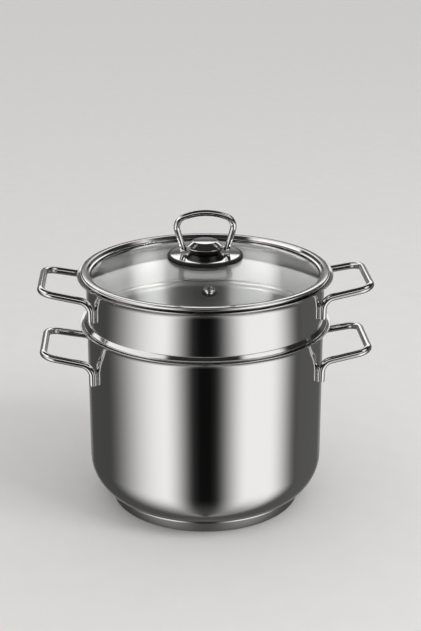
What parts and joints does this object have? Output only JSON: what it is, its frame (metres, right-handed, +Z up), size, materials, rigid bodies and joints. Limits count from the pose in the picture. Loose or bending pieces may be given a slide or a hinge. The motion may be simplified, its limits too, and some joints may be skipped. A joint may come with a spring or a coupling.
{
  "type": "pasta pot",
  "caption": "Stainless steel pasta pot with a lift-out strainer insert, bent wire side handles and a domed glass lid with a steam vent and a wire loop knob.",
  "frame": {"origin": "middle of the flat underside of the capsule base, on the pot's axis", "axes": "+Z up along the pot's axis, +X towards the right side handles, -Y towards the steam vent in the lid"},
  "size_m": [0.31, 0.2388, 0.2844],
  "materials": {
    "satin_steel": "satin polished stainless sheet",
    "mirror_steel": "mirror polished stainless steel",
    "base_aluminium": "plain disc, sealed in the base",
    "lid_glass": "clear toughened glass",
    "black_silicone": "matt black silicone"
  },
  "bodies": {
    "pot": {"pot_body": "satin_steel", "base_core": "base_aluminium", "base_cap": "satin_steel", "pot_handle_left": "mirror_steel", "pot_handle_right": "mirror_steel"},
    "insert": {"insert_body": "satin_steel", "insert_handle_left": "mirror_steel", "insert_handle_right": "mirror_steel"},
    "lid": {"lid_glass": "lid_glass", "lid_rim": "mirror_steel", "rim_seal": "black_silicone", "vent_eyelet": "mirror_steel", "vent_washer": "mirror_steel", "knob_pad": "black_silicone", "knob_plate": "mirror_steel", "knob_hub": "mirror_steel", "knob_loop": "mirror_steel", "knob_screw": "mirror_steel", "screw_washer": "mirror_steel", "screw_seal": "black_silicone"}
  },
  "joints": [
    {"name": "insert_lift", "type": "slide", "parent": "pot", "child": "insert", "axis": [0, 0, 1], "range_m": [0, 0.16]},
    {"name": "lid_lift", "type": "slide", "parent": "insert", "child": "lid", "axis": [0, 0, 1], "range_m": [0, 0.12]}
  ]
}
